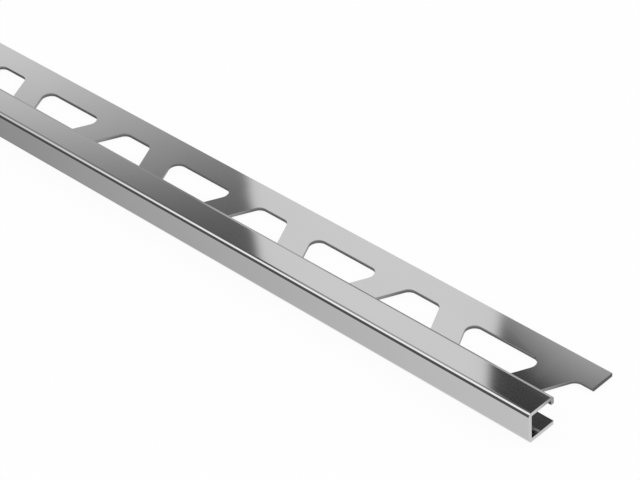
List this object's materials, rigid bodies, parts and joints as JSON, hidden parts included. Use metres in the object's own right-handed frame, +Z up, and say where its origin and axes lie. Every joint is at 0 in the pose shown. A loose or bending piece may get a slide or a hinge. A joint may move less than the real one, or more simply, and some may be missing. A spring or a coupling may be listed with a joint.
{
  "type": "tile edge trim",
  "caption": "Straight square-edge tile trim bent from one strip of polished sheet steel, with a trapezoid-perforated anchoring leg, front wall, top and short lip.",
  "frame": {"origin": "middle of the footprint, on the underside of the anchoring leg", "axes": "+X along the length, +Y from the visible front face towards the back edge of the anchoring leg, +Z up to the visible top face"},
  "size_m": [1, 0.034, 0.01],
  "materials": {
    "polished_steel": "bright polished stainless steel sheet"
  },
  "bodies": {
    "root": {"edge_trim_profile": "polished_steel"}
  },
  "joints": []
}
